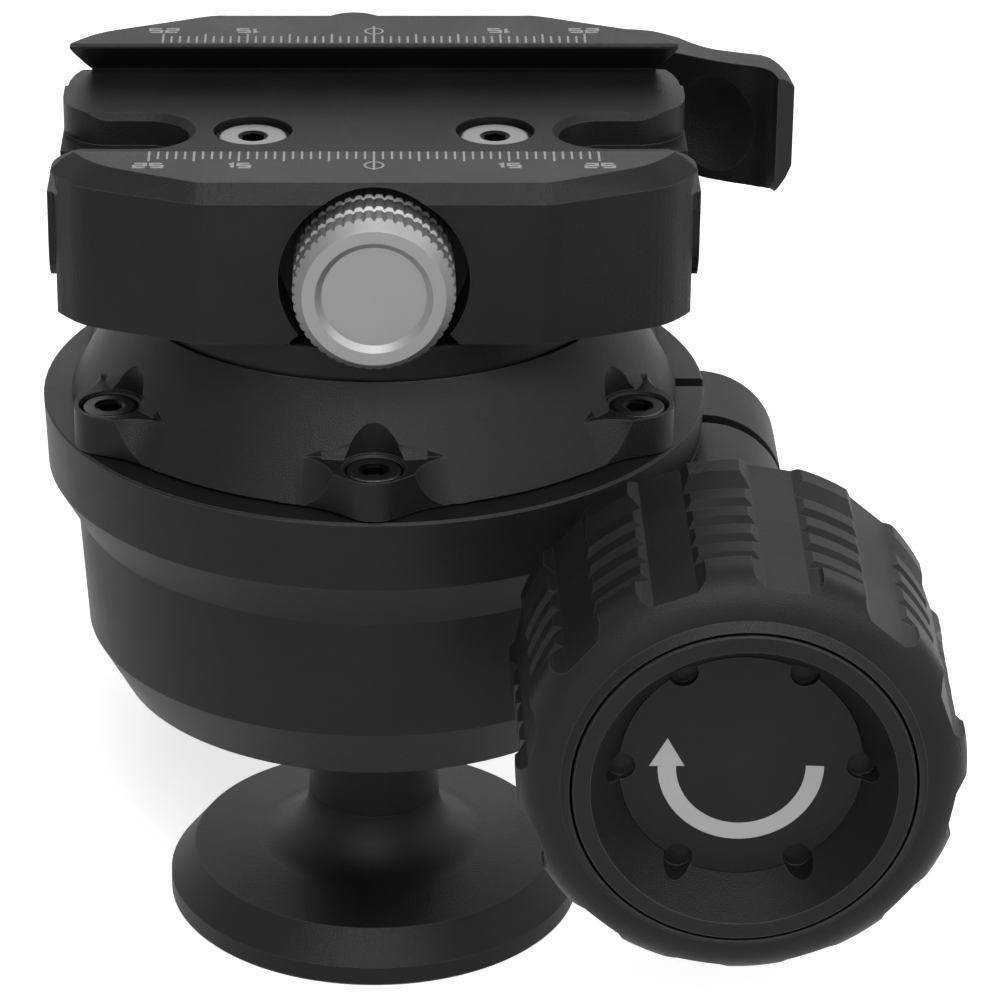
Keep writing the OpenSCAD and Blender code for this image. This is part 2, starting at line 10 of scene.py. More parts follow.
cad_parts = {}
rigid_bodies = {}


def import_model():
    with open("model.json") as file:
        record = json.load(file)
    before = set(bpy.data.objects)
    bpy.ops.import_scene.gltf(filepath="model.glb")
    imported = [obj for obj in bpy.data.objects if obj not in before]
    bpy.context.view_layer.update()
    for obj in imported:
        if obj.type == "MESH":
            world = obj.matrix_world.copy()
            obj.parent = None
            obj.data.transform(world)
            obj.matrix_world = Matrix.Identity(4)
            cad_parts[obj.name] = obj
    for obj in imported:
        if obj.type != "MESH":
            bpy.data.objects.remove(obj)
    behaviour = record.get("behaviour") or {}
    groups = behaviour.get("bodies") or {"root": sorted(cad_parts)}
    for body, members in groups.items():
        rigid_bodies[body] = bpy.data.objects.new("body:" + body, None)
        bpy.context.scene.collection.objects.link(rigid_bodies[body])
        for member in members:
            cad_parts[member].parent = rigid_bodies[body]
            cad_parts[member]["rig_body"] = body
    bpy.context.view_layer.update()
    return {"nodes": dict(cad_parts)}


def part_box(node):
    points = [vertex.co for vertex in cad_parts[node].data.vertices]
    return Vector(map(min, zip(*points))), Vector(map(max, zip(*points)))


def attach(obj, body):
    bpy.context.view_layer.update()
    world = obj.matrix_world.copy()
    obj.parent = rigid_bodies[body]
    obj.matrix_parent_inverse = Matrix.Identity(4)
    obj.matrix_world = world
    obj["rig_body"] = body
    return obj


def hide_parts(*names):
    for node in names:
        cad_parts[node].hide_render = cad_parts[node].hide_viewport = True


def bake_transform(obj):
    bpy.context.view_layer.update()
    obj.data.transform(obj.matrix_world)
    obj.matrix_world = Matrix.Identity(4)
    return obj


MM = 0.001
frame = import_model()
scene = bpy.context.scene
nodes = frame["nodes"]


# ---------- camera, floor and lights ----------


CAMERA_PLACE = (0, -502.84 * MM, 290.68 * MM)
CAMERA_DOWN = 25.35
FOCAL_LENGTH, SENSOR_WIDTH = 167.52, 36
SHIFT_RIGHT = 0.126

AIM_HEIGHT = 60 * MM
LAMP_DISTANCE, LAMP_SIZE = 1.2, 0.5
# name, angle above the floor, turn from the front, watts
LAMPS = (
    ("front", 38, 0, 6.5),
    ("front_high", 62, 0, 6.5),
    ("front_right", 38, 60, 5.0),
    ("front_low", 12, 0, 1.2),
    ("back_low", 12, 180, 0.5),
)

FLOOR_REACH = 3.0
FLOOR_DROP = 0.1 * MM


def place_camera():
    """A long lens in front of the head, looking down on it."""
    lens = bpy.data.cameras.new("camera")
    lens.lens = FOCAL_LENGTH
    lens.sensor_width = SENSOR_WIDTH
    lens.shift_x = SHIFT_RIGHT
    lens.clip_start = 0.01
    camera = bpy.data.objects.new("camera", lens)
    camera.location = CAMERA_PLACE
    camera.rotation_euler = (math.radians(90 - CAMERA_DOWN), 0, 0)
    scene.collection.objects.link(camera)
    scene.camera = camera


def place_lamp(name, height, turn, watts):
    """A round softbox aimed at the object: angle above the floor, and from the front."""
    up, aside = math.radians(height), math.radians(turn)
    level = math.cos(up)
    way = Vector((level * math.sin(aside), -level * math.cos(aside), math.sin(up)))
    lamp = bpy.data.lights.new(name, "AREA")
    lamp.shape = "DISK"
    lamp.size = LAMP_SIZE
    lamp.energy = watts
    box = bpy.data.objects.new(name, lamp)
    box.location = Vector((0, 0, AIM_HEIGHT)) + way * LAMP_DISTANCE
    box.rotation_euler = (-way).to_track_quat("-Z", "Y").to_euler()
    scene.collection.objects.link(box)


class Tree:
    """Adds nodes to a node tree, with values and links given by socket."""

    def __init__(self, tree):
        self.tree = tree

    def add(self, kind, inputs=None, **settings):
        """A new node with its settings, and its inputs as {socket: value or link}."""
        node = self.tree.nodes.new(kind)
        for key, value in settings.items():
            setattr(node, key, value)
        for socket, value in (inputs or {}).items():
            self.put(node.inputs[socket], value)
        return node

    def put(self, socket, value):
        """Links a socket to another one, or sets its value."""
        if isinstance(value, bpy.types.NodeSocket):
            self.tree.links.new(value, socket)
        else:
            socket.default_value = value

    def sum(self, kind, a, b=0.5):
        """The result of one arithmetic step."""
        node = self.add("ShaderNodeMath", operation=kind)
        for socket, value in zip(node.inputs, (a, b)):
            self.put(socket, value)
        return node.outputs[0]

    def mix(self, factor, a, b):
        """A colour between a and b. The colour sockets are numbers 6, 7 and out 2."""
        colours = {0: factor, 6: a, 7: b}
        node = self.add("ShaderNodeMix", colours, data_type="RGBA")
        return node.outputs[2]

    def spread(self, value, low, high, to_low=0.0, to_high=1.0):
        """The value carried from one range to another and kept inside it."""
        node = self.add("ShaderNodeMapRange", clamp=True)
        for socket, number in zip(node.inputs, (value, low, high, to_low, to_high)):
            self.put(socket, number)
        return node.outputs[0]


def see_white(t, soft, seen, mirrored):
    """One strength for the camera, one for gloss and glass, one for the rest."""
    path = t.add("ShaderNodeLightPath")
    gloss = t.sum(
        "MAXIMUM", path.outputs["Is Glossy Ray"], path.outputs["Is Transmission Ray"]
    )
    rest = t.spread(gloss, 0.0, 1.0, soft, mirrored)
    return t.spread(path.outputs["Is Camera Ray"], 0.0, 1.0, rest, seen)


def lay_floor():
    """White paper under the base, which takes the head's soft shadow."""
    corners = [(-1, -1), (1, -1), (1, 1), (-1, 1)]
    mesh = bpy.data.meshes.new("floor")
    mesh.from_pydata(
        [(x * FLOOR_REACH, y * FLOOR_REACH, 0) for x, y in corners], [], [(0, 1, 2, 3)]
    )
    floor = bpy.data.objects.new("floor", mesh)
    floor.location.z = -FLOOR_DROP
    scene.collection.objects.link(floor)
    paper = bpy.data.materials.new("floor_paper")
    paper.use_nodes = True
    t = Tree(paper.node_tree)
    shader = paper.node_tree.nodes["Principled BSDF"]
    shader.inputs["Base Color"].default_value = (0.8, 0.8, 0.8, 1)
    shader.inputs["Roughness"].default_value = 0.9
    shader.inputs["Specular IOR Level"].default_value = 0.1
    shader.inputs["Emission Color"].default_value = (1, 1, 1, 1)
    glow = see_white(t, soft=0.0, seen=0.75, mirrored=0.5)
    t.put(shader.inputs["Emission Strength"], glow)
    floor.data.materials.append(paper)


def light_world():
    """A white surround that is seen and mirrored but gives no light of its own."""
    world = bpy.data.worlds.new("studio")
    scene.world = world
    world.use_nodes = True
    t = Tree(world.node_tree)
    back = world.node_tree.nodes["Background"]
    back.inputs["Color"].default_value = (1, 1, 1, 1)
    t.put(back.inputs["Strength"], see_white(t, soft=0.0, seen=1.0, mirrored=1.0))


scene.view_settings.view_transform = "Standard"
place_camera()
lay_floor()
light_world()
for lamp in LAMPS:
    place_lamp(*lamp)


# ---------- shared effects ----------


def new_group(name, inputs, outputs):
    """A shader node group with its inputs as {name: (kind, value)}."""
    tree = bpy.data.node_groups.new(name, "ShaderNodeTree")
    for label, (kind, value) in inputs.items():
        socket = tree.interface.new_socket(label, in_out="INPUT", socket_type=kind)
        socket.default_value = value
    for label, kind in outputs.items():
        tree.interface.new_socket(label, in_out="OUTPUT", socket_type=kind)
    t = Tree(tree)
    start = t.add("NodeGroupInput").outputs
    end = t.add("NodeGroupOutput").inputs
    return t, start, end


FLOAT, VECTOR = "NodeSocketFloat", "NodeSocketVector"


def blast_group():
    """The pitted surface that glass beads leave: its height, and bright specks that paint
    in the glints of its grain.
    """
    t, start, end = new_group(
        "bead_blast",
        {"Grain per m": (FLOAT, 4200.0)},
        {"Height": FLOAT, "Glints": FLOAT, "Cloud": FLOAT},
    )
    place = t.add("ShaderNodeTexCoord").outputs["Object"]
    grain = t.add(
        "ShaderNodeTexNoise",
        {"Vector": place, "Scale": start["Grain per m"], "Detail": 2.0},
    )
    pits = t.add(
        "ShaderNodeTexVoronoi",
        {"Vector": place, "Scale": t.sum("MULTIPLY", start["Grain per m"], 1.3)},
    )
    t.put(
        end["Height"],
        t.sum(
            "ADD",
            t.sum("MULTIPLY", grain.outputs[0], 0.7),
            t.sum("MULTIPLY", pits.outputs["Distance"], 0.5),
        ),
    )
    t.put(end["Glints"], t.spread(pits.outputs["Color"], 0.8, 1.0))
    cloud = t.add(
        "ShaderNodeTexNoise", {"Vector": place, "Scale": 90.0, "Detail": 3.0}
    )
    t.put(end["Cloud"], t.spread(cloud.outputs[0], 0.35, 0.65))
    return t.tree


def edge_group():
    """Breaks every sharp edge: the rounded normal, and where the edges are."""
    t, start, end = new_group(
        "broken_edge", {"Radius": (FLOAT, 0.00025)}, {"Normal": VECTOR, "Edge": FLOAT}
    )
    bevel = t.add("ShaderNodeBevel", {"Radius": start["Radius"]}, samples=4)
    face = t.add("ShaderNodeNewGeometry").outputs["Normal"]
    dot = t.add("ShaderNodeVectorMath", operation="DOT_PRODUCT")
    t.put(dot.inputs[0], bevel.outputs[0])
    t.put(dot.inputs[1], face)
    t.put(end["Normal"], bevel.outputs[0])
    t.put(end["Edge"], t.spread(dot.outputs["Value"], 0.995, 0.9))
    return t.tree


GROUPS = {"blast": blast_group(), "edge": edge_group()}


def use(t, name, **values):
    """The outputs of a shared effect, placed with its own values."""
    node = t.add("ShaderNodeGroup", node_tree=GROUPS[name])
    for label, value in values.items():
        t.put(node.inputs[label.replace("_", " ")], value)
    return node.outputs


def grey(v):
    """A neutral colour."""
    return (v, v, v, 1)


def shaded(colour, factor):
    """A colour made lighter or darker by a factor."""
    return [c * factor for c in colour[:3]] + [1]


def new_finish(name, grain, edge_mm):
    """A material with its shader, and both shared effects placed in it."""
    material = bpy.data.materials.new(name)
    material.use_nodes = True
    t = Tree(material.node_tree)
    shader = material.node_tree.nodes["Principled BSDF"]
    blast = use(t, "blast", Grain_per_m=grain)
    edge = use(t, "edge", Radius=edge_mm * MM)
    return material, t, shader, blast, edge


def roughen(t, shader, blast, edge, rough, swing, bump, depth):
    """Clouded roughness, and the blasted relief on top of the broken edges."""
    cloudy = t.spread(blast["Cloud"], 0, 1, rough - swing, rough + swing)
    t.put(shader.inputs["Roughness"], cloudy)
    heights = {"Height": blast["Height"], "Normal": edge["Normal"]}
    relief = t.add("ShaderNodeBump", {"Strength": bump, "Distance": depth, **heights})
    t.put(shader.inputs["Normal"], relief.outputs[0])


def blasted(
    name,
    dark,
    light,
    rough,
    gloss=0.35,
    edge_mm=0.18,
    bump=0.7,
    grain=6000.0,
    glint_gain=3.0,
    wear_and_highlight=12.0,
):
    """A bead blasted face.

    The last two are how far its painted glints, and its worn edges with their painted
    highlight, outshine its colour.
    """
    material, t, shader, blast, edge = new_finish(name, grain, edge_mm)
    body = t.mix(blast["Cloud"], dark, light)
    # painted glints: bright specks of colour where the blasted grain would catch the
    # light
    glint_mask = t.sum("MULTIPLY", blast["Glints"], 0.5)
    with_painted_glints = t.mix(glint_mask, body, shaded(light, glint_gain))
    # the broken edges are lightened, partly as wear and partly as a painted highlight
    # where they would catch the light
    edges = t.sum("MULTIPLY", edge["Edge"], 0.5)
    t.put(shader.inputs["Base Color"], t.mix(edges, with_painted_glints, shaded(light, wear_and_highlight)))
    shader.inputs["Specular IOR Level"].default_value = gloss
    roughen(t, shader, blast, edge, rough, 0.03, bump, 0.08 * MM)
    return material


def bare_metal(name, colour, rough):
    """Turned bare metal."""
    material, t, shader, blast, edge = new_finish(name, grain=3000.0, edge_mm=0.15)
    clouded = t.mix(blast["Cloud"], shaded(colour, 0.93), colour)
    t.put(shader.inputs["Base Color"], clouded)
    shader.inputs["Metallic"].default_value = 1.0
    roughen(t, shader, blast, edge, rough, 0.04, bump=0.2, depth=0.02 * MM)
    return material


# paint is matt and smooth, and its thin strokes have next to no broken edge, painted
# glint or painted edge highlight
PRINTED = {
    "rough": 0.6,
    "gloss": 0.2,
    "edge_mm": 0.01,
    "bump": 0.1,
    "glint_gain": 1.1,
    "wear_and_highlight": 1,
}
FINISH = {
    "black": blasted("blasted_black", grey(0.005), grey(0.007), rough=0.41, gloss=0.16),
    "knob": blasted("knob_black", grey(0.005), grey(0.007), rough=0.4, gloss=0.16),
    "steel": bare_metal("bright_steel", (0.62, 0.61, 0.6, 1), 0.3),
    "silver": bare_metal("silver_anodised", (0.25, 0.245, 0.242, 1), 0.55),
    "zinc": bare_metal("zinc_plate", (0.36, 0.355, 0.35, 1), 0.48),
    "dark_steel": bare_metal("blackened_steel", (0.09, 0.09, 0.093, 1), 0.38),
    # the seats' plastic has only faint painted glints and a faint painted edge highlight
    "plastic": blasted(
        "seat_plastic", grey(0.6), grey(0.66), rough=0.5, glint_gain=1.02, wear_and_highlight=1.05
    ),
    "brass": bare_metal("brass", (0.65, 0.47, 0.2, 1), 0.35),
    "paint": blasted("scale_paint", grey(0.33), grey(0.36), **PRINTED),
    "arrow": blasted("arrow_paint", grey(0.32), grey(0.34), **PRINTED),
    # near-black skin for the screws' sockets: painted shade in their wells
    "socket": bare_metal("blackened_socket", (0.012, 0.012, 0.013, 1), 0.4),
}

WEARS = {
    "black": "base_disc ball_stem housing dome_cap pan_rotor clamp_body rear_jaw "
    "lever_arm",
    "knob": "knob_grip dial_bowl dial_cap",
    "steel": "thread_bush stem_ring seat_spring clamping_bolt knob_hub dial_ring "
    "pan_spindle clamp_screws guide_pins jaw_springs tie_bolt pan_screw pivot_pins "
    "crank_pin",
    "silver": "pan_knob",
    "dark_steel": "dome_screws bolt_nut spindle_screws",
    "plastic": "upper_seat lower_seat pan_washer",
    "brass": "thrust_washer brake_pad",
}
for finish, names in WEARS.items():
    for name in names.split():
        for slot in nodes[name].material_slots:
            slot.material = FINISH[finish]

# ---------- new pieces ----------


def body_of(node):
    """The body that a node of the frame rides on."""
    return nodes[node]["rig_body"]


def keep_piece(mesh, name, finish, body, *stands_for):
    """Makes a mesh one of the object's pieces, with its normals outward.

    Without a body, the caller says how the piece follows the part.
    """
    tidy = bmesh.new()
    tidy.from_mesh(mesh)
    bmesh.ops.remove_doubles(tidy, verts=tidy.verts, dist=1e-7)
    bmesh.ops.recalc_face_normals(tidy, faces=tidy.faces)
    tidy.to_mesh(mesh)
    tidy.free()
    mesh.materials.clear()
    mesh.materials.append(FINISH[finish])
    piece = bpy.data.objects.new(name, mesh)
    scene.collection.objects.link(piece)
    if body:
        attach(piece, body)
    if stands_for:
        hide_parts(*stands_for)
    return piece


def loft(name, rings, closed=False):
    """A mesh through rings of equally many points, ended by caps unless it closes."""
    mesh = bpy.data.meshes.new(name)
    n = len(rings[0])
    faces = []
    for i in range(len(rings) if closed else len(rings) - 1):
        j = (i + 1) % len(rings)
        for k in range(n):
            m = (k + 1) % n
            faces.append((i * n + k, i * n + m, j * n + m, j * n + k))
    if not closed:
        faces.append(tuple(range(n - 1, -1, -1)))
        faces.append(tuple((len(rings) - 1) * n + k for k in range(n)))
    mesh.from_pydata([p for ring in rings for p in ring], [], faces)
    return mesh


def circle(radius, z, n=24):
    """n points round the axis at height z."""
    turns = [math.tau * k / n for k in range(n)]
    return [(radius * math.cos(a), radius * math.sin(a), z) for a in turns]


def hexagon(across, z, n=24):
    """A hexagon's outline with n points, across its flats."""
    ring = []
    for k in range(n):
        a = math.tau * k / n
        off = (a + math.pi / 6) % (math.pi / 3) - math.pi / 6
        r = across / 2 / math.cos(off)
        ring.append((r * math.cos(a), r * math.sin(a), z))
    return ring


# ---------- screws, thread and springs ----------


# across the hexagon's flats, radius of its chamfered mouth, and depth, in mm
SOCKET_FLATS, SOCKET_MOUTH, SOCKET_DEPTH = 2.5, 1.76, 1.3


def in_metres(rings):
    """Rings given in mm, in the script's metres."""
    return [[[c * MM for c in p] for p in ring] for ring in rings]


def socket_walls(head_h, skin):
    """The hexagon socket's rings from its mouth down, skin mm within the well."""
    return [
        circle(SOCKET_MOUTH - skin, head_h + skin / 4),
        circle(SOCKET_FLATS * 0.6 - skin, head_h - 0.22 + skin),
        hexagon(SOCKET_FLATS - 2 * skin, head_h - 0.24 + skin),
        hexagon(SOCKET_FLATS - 2 * skin, head_h - SOCKET_DEPTH + skin),
        circle(0.1, head_h - SOCKET_DEPTH - 0.3 + skin),
    ]


def cap_screw(head_r, head_h, shank_r, shank_l):
    """A socket screw that points down, its head seated at z = 0."""
    outside = [
        circle(shank_r * 0.7, -shank_l),
        circle(shank_r, -shank_l + 0.4),
        circle(shank_r, 0),
        circle(head_r - 0.05, 0),
        circle(head_r, 0.05),
        circle(head_r, head_h - 0.3),
        circle(head_r - 0.12, head_h - 0.08),
        circle(head_r - 0.32, head_h),
    ]
    return loft("screw", in_metres(outside + socket_walls(head_h, 0)))


def socket_shade_skin(head_h):
    """The near-black skin inside a screw's socket: painted shade in its well."""
    inside = socket_walls(head_h, 0.02)
    return loft("lining", in_metres(socket_walls(head_h, 0.005) + inside[::-1]), True)


def geometry_tree(name, **inputs):
    """A geometry tree with named inputs, its start and the number of each copy."""
    tree = bpy.data.node_groups.new(name, "GeometryNodeTree")
    sockets = {"Geometry": "NodeSocketGeometry", **inputs, "Finish": "NodeSocketMaterial"}
    for label, kind in sockets.items():
        label = label.replace("_", " ")
        tree.interface.new_socket(label, in_out="INPUT", socket_type=kind)
    tree.interface.new_socket(
        "Geometry", in_out="OUTPUT", socket_type="NodeSocketGeometry"
    )
    t = Tree(tree)
    start = t.add("NodeGroupInput").outputs
    index = t.add("GeometryNodeInputIndex").outputs[0]
    return t, start, index


def finish_tree(t, copies, finish):
    """Makes the copies real, gives them their finish and ends the tree."""
    real = t.add("GeometryNodeRealizeInstances", {"Geometry": copies.outputs[0]})
    dressed = t.add(
        "GeometryNodeSetMaterial", {"Geometry": real.outputs[0], "Material": finish}
    )
    t.put(t.add("NodeGroupOutput").inputs[0], dressed.outputs[0])
    return t.tree


def ring_tree():
    """Copies of a piece, spread evenly round an axis."""
    t, start, index = geometry_tree(
        "round_the_axis",
        Piece="NodeSocketObject",
        Copies="NodeSocketInt",
        Radius=FLOAT,
        First_turn=FLOAT,
        Height=FLOAT,
    )
    step = t.sum("DIVIDE", math.tau, start["Copies"])
    turn = t.sum("ADD", t.sum("MULTIPLY", index, step), start["First turn"])
    x = t.sum("MULTIPLY", t.sum("COSINE", turn), start["Radius"])
    y = t.sum("MULTIPLY", t.sum("SINE", turn), start["Radius"])
    at = t.add("ShaderNodeCombineXYZ", {0: x, 1: y, 2: start["Height"]})
    way = t.add("ShaderNodeCombineXYZ", {2: turn})
    points = t.add(
        "GeometryNodePoints", {"Count": start["Copies"], "Position": at.outputs[0]}
    )
    piece = t.add(
        "GeometryNodeObjectInfo",
        {"Object": start["Piece"]},
        transform_space="ORIGINAL",
    )
    copies = t.add(
        "GeometryNodeInstanceOnPoints",
        {
            "Points": points.outputs[0],
            "Instance": piece.outputs["Geometry"],
            "Rotation": way.outputs[0],
        },
    )
    return finish_tree(t, copies, start["Finish"])


def grown(name, tree, **inputs):
    """The plain mesh that a geometry tree makes from its named inputs."""
    carrier = bpy.data.objects.new(name, bpy.data.meshes.new(name + "_seed"))
    scene.collection.objects.link(carrier)
    modifier = carrier.modifiers.new("grow", "NODES")
    modifier.node_group = tree
    for item in tree.interface.items_tree:
        key = item.name.replace(" ", "_")
        if item.in_out == "INPUT" and key in inputs:
            modifier[item.identifier] = inputs[key]
    bpy.context.view_layer.update()
    seen = carrier.evaluated_get(bpy.context.evaluated_depsgraph_get())
    mesh = bpy.data.meshes.new_from_object(seen)
    mesh.name = name
    bpy.data.objects.remove(carrier)
    return mesh


AROUND = ring_tree()


def screw_set(name, screw, finish, node, copies, radius, first, seat_z, stands=True):
    """A set of equal screws round the main axis, in place of the plain ones."""
    one = bpy.data.objects.new(name + "_one", screw)
    scene.collection.objects.link(one)
    mesh = grown(
        name,
        AROUND,
        Piece=one,
        Copies=copies,
        Radius=radius * MM,
        First_turn=math.radians(first),
        Height=seat_z,
        Finish=FINISH[finish],
    )
    bpy.data.objects.remove(one)
    keep_piece(mesh, name, finish, body_of(node), *([node] if stands else []))


def knob_face():
    """The flat disc that is turned in the bright knob's face."""
    axis_z, face, radius, points = 92.85, 33.4, 5.78, 64
    deep, chamfer_deep, chamfer = 0.5, 0.04, 0.05
    disc = loft(
        "pan_knob_disc",
        in_metres(
            [
                circle(radius, face - deep, points),
                circle(radius, face - chamfer_deep, points),
                circle(radius - chamfer, face, points),
                circle(radius * 0.5, face, points),
            ]
        ),
    )
    disc.transform(
        Matrix.Translation((0, 0, axis_z * MM))
        @ Matrix.Rotation(math.radians(90), 4, "X")
    )
    keep_piece(disc, "pan_knob_disc", "silver", body_of("pan_knob"))


def threaded_bush():
    """The base's bush, with the helix of its inch thread cut in the bore."""
    low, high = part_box("thread_bush")
    # 16 turns to the inch, in mm
    pitch, minor, major, outer = 25.4 / 16, 3.97, 4.72, high[0] / MM
    bottom, top = low[2] / MM, high[2] / MM
    rows, steps = 110, 36
    chamfer, lead_in = 0.25, 0.3
    flank, root_flat = 1.35, 0.2
    rings = [circle(outer - chamfer, bottom, steps)]
    bore = []
    for i in range(rows + 1):
        z = bottom + (top - bottom) * i / rows
        ring = []
        for k in range(steps):
            a = math.tau * k / steps
            saw = abs((z / pitch - k / steps) % 1 - 0.5) * 2
            cut = min(max(saw * flank - root_flat, 0), 1)
            mouth = lead_in - min(z - bottom, top - z)
            r = max(minor + (major - minor) * cut, major + mouth if mouth > 0 else 0)
            ring.append((r * math.cos(a), r * math.sin(a), z))
        bore.append(ring)
    rings += bore
    rings += [
        circle(outer - chamfer, top, steps),
        circle(outer, top - chamfer, steps),
        circle(outer, bottom + chamfer, steps),
    ]
    mesh = loft("threaded_bush", in_metres(rings), closed=True)
    keep_piece(mesh, "threaded_bush", "steel", body_of("thread_bush"), "thread_bush")


def coil_springs():
    """The two springs that push the sliding jaw open, wound round their pins."""
    low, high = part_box("jaw_springs")
    wire, turns, steps = 0.3 * MM, 7.5, 20
    closed_turns = 0.8
    coil_r = (high[2] - low[2]) / 2 - wire
    middle_z = (high[2] + low[2]) / 2
    pin_x = high[0] - coil_r - wire
    length = high[1] - low[1]
    built = bmesh.new()
    for side in (-1, 1):
        rings = []
        for i in range(int(turns * steps) + 1):
            a = math.tau * i / steps
            share = i / (turns * steps)
            climb = (share * turns - closed_turns) / (turns - 2 * closed_turns)
            run = min(max(climb, 0), 1)
            y = low[1] + wire + (length - 2 * wire) * run
            out = Vector((math.cos(a), 0, math.sin(a)))
            along = Vector((0, 1, 0))
            middle = Vector((side * pin_x, y, middle_z)) + out * coil_r
            rings.append(
                [
                    middle + wire * (out * math.cos(b) + along * math.sin(b))
                    for b in [math.tau * k / 8 for k in range(8)]
                ]
            )
        built.from_mesh(loft("coil", rings))
    mesh = bpy.data.meshes.new("coil_springs")
    built.to_mesh(mesh)
    built.free()
    springs = keep_piece(mesh, "coil_springs", "steel", None, "jaw_springs")
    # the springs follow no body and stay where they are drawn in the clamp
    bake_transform(springs)


# ---------- dome ----------


def run_out_lugs():
    """The dome, with the sliver beside each lug's hollow flank laid on the cone."""
    # the cone's fall inward per height, and its radius at its foot
    slope, foot_r, foot_z = 0.556, 35.76 * MM, 68.0 * MM
    low_z, shelf_z = 68.2 * MM, 73.0 * MM
    lug_step, first_lug, flank_end = 60, 30, 14.4
    built = bmesh.new()
    built.from_mesh(nodes["dome_cap"].data)
    bmesh.ops.remove_doubles(built, verts=built.verts, dist=1e-6)
    for vert in built.verts:
        x, y, z = vert.co
        if not low_z < z < shelf_z:
            continue
        from_lug = abs(math.degrees(math.atan2(y, x)) % lug_step - first_lug)
        radius = math.hypot(x, y)
        cone_r = foot_r - slope * (z - foot_z)
        if from_lug > flank_end and -0.1 * MM < radius - cone_r < 0.5 * MM:
            vert.co.x *= cone_r / radius
            vert.co.y *= cone_r / radius
    bmesh.ops.dissolve_degenerate(built, edges=built.edges, dist=1e-6)
    mesh = bpy.data.meshes.new("dome_smooth")
    built.to_mesh(mesh)
    built.free()
    mesh.attributes.remove(mesh.attributes["custom_normal"])
    mesh.shade_smooth()
    mesh.set_sharp_from_angle(angle=math.radians(12))
    keep_piece(mesh, "dome_smooth", "black", body_of("dome_cap"), "dome_cap")


run_out_lugs()


# ---------- printed marks ----------


def scale_tree():
    """A row of scale marks, every fifth longer and the middle one longest."""
    sizes = ("Pitch", "Width", "Depth", "Root", "Short", "Long", "Zero")
    t, start, index = geometry_tree(
        "scale_marks", Marks="NodeSocketInt", **dict.fromkeys(sizes, FLOAT)
    )
    half = t.sum("DIVIDE", t.sum("SUBTRACT", start["Marks"], 1.0), 2.0)
    number = t.sum("SUBTRACT", index, half)
    away = t.sum("ABSOLUTE", number)
    fifth = t.sum("LESS_THAN", t.sum("MODULO", away, 5.0), 0.5)
    zero = t.sum("LESS_THAN", away, 0.5)
    longer = t.sum("SUBTRACT", start["Long"], start["Short"])
    longest = t.sum("SUBTRACT", start["Zero"], start["Long"])
    length = t.sum("ADD", start["Short"], t.sum("MULTIPLY", fifth, longer))
    length = t.sum("ADD", length, t.sum("MULTIPLY", zero, longest))
    far = t.sum("ADD", start["Root"], t.sum("MULTIPLY", length, 0.5))
    at = t.add(
        "ShaderNodeCombineXYZ",
        {
            0: t.sum("MULTIPLY", number, start["Pitch"]),
            1: t.sum("MULTIPLY", far, -1.0),
        },
    )
    size = t.add(
        "ShaderNodeCombineXYZ", {0: start["Width"], 1: length, 2: start["Depth"]}
    )
    points = t.add(
        "GeometryNodePoints", {"Count": start["Marks"], "Position": at.outputs[0]}
    )
    plate = t.add("GeometryNodeMeshCube", {"Size": (1, 1, 1)})
    marks = t.add(
        "GeometryNodeInstanceOnPoints",
        {
            "Points": points.outputs[0],
            "Instance": plate.outputs["Mesh"],
            "Scale": size.outputs[0],
        },
    )
    return finish_tree(t, marks, start["Finish"])


# how far paint reaches into its face and stands above it, in mm
PAINT_DEEP = 0.04
PAINT_PROUD = 0.012


def band(built, points, width, closed=False):
    """A flat band of the given width along a path, its corners mitred."""
    path = [Vector(p) for p in points]
    count = len(path)
    rails = []
    for i, p in enumerate(path):
        ways = []
        if i or closed:
            ways.append((p - path[i - 1]).normalized())
        if i < count - 1 or closed:
            ways.append((path[(i + 1) % count] - p).normalized())
        sides = [Vector((-w.y, w.x)) for w in ways]
        side = (sides[0] + sides[-1]).normalized()
        reach = width / 2 / max(side.dot(sides[0]), 0.3)
        rails.append([built.verts.new((*(p + side * reach * s), 0)) for s in (-1, 1)])
    for i in range(count if closed else count - 1):
        a, b = rails[i], rails[(i + 1) % count]
        built.faces.new((a[0], b[0], b[1], a[1]))


def print_paint(built, name, place, body, finish="paint"):
    """Thickens flat outlines into paint that stands just proud of its face."""
    mesh = bpy.data.meshes.new(name)
    raised = bmesh.ops.extrude_face_region(built, geom=built.faces[:])
    top = [v for v in raised["geom"] if isinstance(v, bmesh.types.BMVert)]
    bmesh.ops.translate(built, verts=top, vec=(0, 0, PAINT_DEEP + PAINT_PROUD))
    bmesh.ops.translate(built, verts=built.verts, vec=(0, 0, -PAINT_DEEP))
    bmesh.ops.scale(built, verts=built.verts, vec=(MM, MM, MM))
    bmesh.ops.transform(built, matrix=place, verts=built.verts)
    built.to_mesh(mesh)
    built.free()
    keep_piece(mesh, name, finish, body)


def arc(radius, first, last, n, middle=(0, 0)):
    """Points on a circle, from one angle to another in degrees."""
    turns = [math.radians(first + (last - first) * k / n) for k in range(n + 1)]
    return [
        (middle[0] + radius * math.cos(a), middle[1] + radius * math.sin(a))
        for a in turns
    ]


# each digit's stroke in a square of side 1, and how wide it stands
DIGITS = {
    "1": ([(0.05, 0.8), (0.35, 1), (0.35, 0)], 0.4),
    "2": ([(0, 1), (1, 1), (1, 0.5), (0, 0.5), (0, 0), (1, 0)], 1.0),
    "5": ([(1, 1), (0, 1), (0, 0.5), (1, 0.5), (1, 0), (0, 0)], 1.0),
}


def write_number(built, text, middle, low, high, stroke=0.4, gap=0.22):
    """A number in squared strokes, centred on middle and standing on low."""
    size = high - low - stroke
    spans = [DIGITS[digit][1] * size for digit in text]
    x = middle - (sum(spans) + stroke * len(text) + gap * (len(text) - 1)) / 2
    for digit, span in zip(text, spans):
        x += stroke / 2
        corners = DIGITS[digit][0]
        band(
            built,
            [(x + px * size, low + stroke / 2 + py * size) for px, py in corners],
            stroke,
        )
        x += span + stroke / 2 + gap


SCALE = scale_tree()


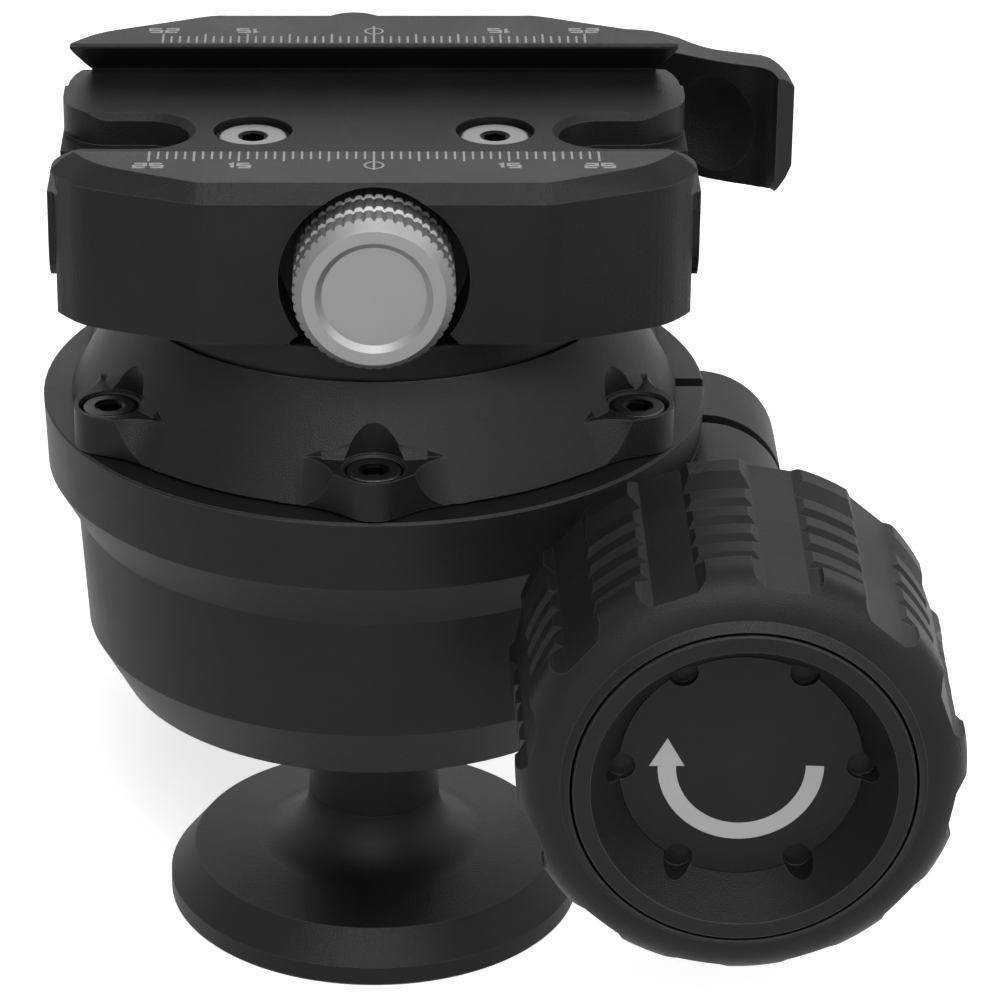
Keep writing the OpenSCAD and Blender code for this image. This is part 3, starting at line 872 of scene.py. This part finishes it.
def jaw_scale(name, node, turn, root, tips, sign_at, digits):
    """The scale on top of one jaw, drawn for the front and turned for the rear.

    Distances run from the panning axis, in mm. tips are where the short, the long
    and the middle marks end.
    """
    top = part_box(node)[1][2]
    place = Matrix.Translation((0, 0, top)) @ Matrix.Rotation(turn, 4, "Z")
    short, long_, zero = [(tip - root) * MM for tip in tips]
    mesh = grown(
        name + "_marks",
        SCALE,
        Marks=51,
        Pitch=1.0 * MM,
        Width=0.25 * MM,
        Depth=1.6 * PAINT_PROUD * MM,
        Root=root * MM,
        Short=short,
        Long=long_,
        Zero=zero,
        Finish=FINISH["paint"],
    )
    mesh.transform(place)
    keep_piece(mesh, name + "_marks", "paint", body_of(node))
    built = bmesh.new()
    band(built, arc(1.04, 0, 345, 23, (0, -sign_at)), 0.24, closed=True)
    for text, x in (("15", 14.95), ("25", 25.0)):
        for side in (-1, 1):
            write_number(built, text, side * x, -digits[1], -digits[0])
    print_paint(built, name + "_signs", place, body_of(node))


def dial_arrow():
    """The arrow on the dial that shows which way its drag grows."""
    middle_x, middle_z = 39 * MM, 53.4 * MM
    face_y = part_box("dial_cap")[0][1]
    inner, outer = 6.91, 8.86
    head_half, head_long = 1.89, 3.34
    middle = (inner + outer) / 2
    built = bmesh.new()
    band(built, arc(middle, 0, -180, 40), outer - inner)
    head = [
        (-middle - head_half, 0, 0),
        (-middle + head_half, 0, 0),
        (-middle, head_long, 0),
    ]
    built.faces.new([built.verts.new(corner) for corner in head])
    bmesh.ops.recalc_face_normals(built, faces=built.faces)
    place = Matrix.Translation((middle_x, face_y, middle_z)) @ Matrix.Rotation(
        math.radians(90), 4, "X"
    )
    print_paint(built, "dial_arrow", place, body_of("dial_cap"), "arrow")


# heights of the screws' heads in mm
DOME_HEAD, CLAMP_HEAD = 2.45, 2.5
DOME_SCREWS = {
    "node": "dome_screws",
    "copies": 6,
    "radius": 34.9,
    "first": 30,
    "seat_z": 70.25 * MM,
}
CLAMP_SCREWS = {
    "node": "clamp_screws",
    "copies": 2,
    "radius": 13.95,
    "first": 0,
    "seat_z": 96.42 * MM,
}
dome_screw = cap_screw(head_r=3.1, head_h=DOME_HEAD, shank_r=1.44, shank_l=10.5)
screw_set("dome_cap_screws", dome_screw, "dark_steel", **DOME_SCREWS)
# each socket gets a near-black skin: painted shade in its well
dome_lining = socket_shade_skin(DOME_HEAD)
screw_set("dome_sockets", dome_lining, "socket", stands=False, **DOME_SCREWS)
clamp_screw = cap_screw(head_r=4.0, head_h=CLAMP_HEAD, shank_r=1.98, shank_l=15.9)
screw_set("clamp_cap_screws", clamp_screw, "zinc", **CLAMP_SCREWS)
clamp_lining = socket_shade_skin(CLAMP_HEAD)
screw_set("clamp_sockets", clamp_lining, "socket", stands=False, **CLAMP_SCREWS)
knob_face()
threaded_bush()
coil_springs()
jaw_scale(
    "front_scale",
    "clamp_body",
    turn=0,
    root=17.86,
    tips=(20.17, 20.81, 23.46),
    sign_at=22.03,
    digits=(21.33, 22.95),
)
jaw_scale(
    "rear_scale",
    "rear_jaw",
    turn=math.pi,
    root=17.88,
    tips=(20.14, 20.89, 23.62),
    sign_at=21.95,
    digits=(21.28, 22.98),
)
dial_arrow()
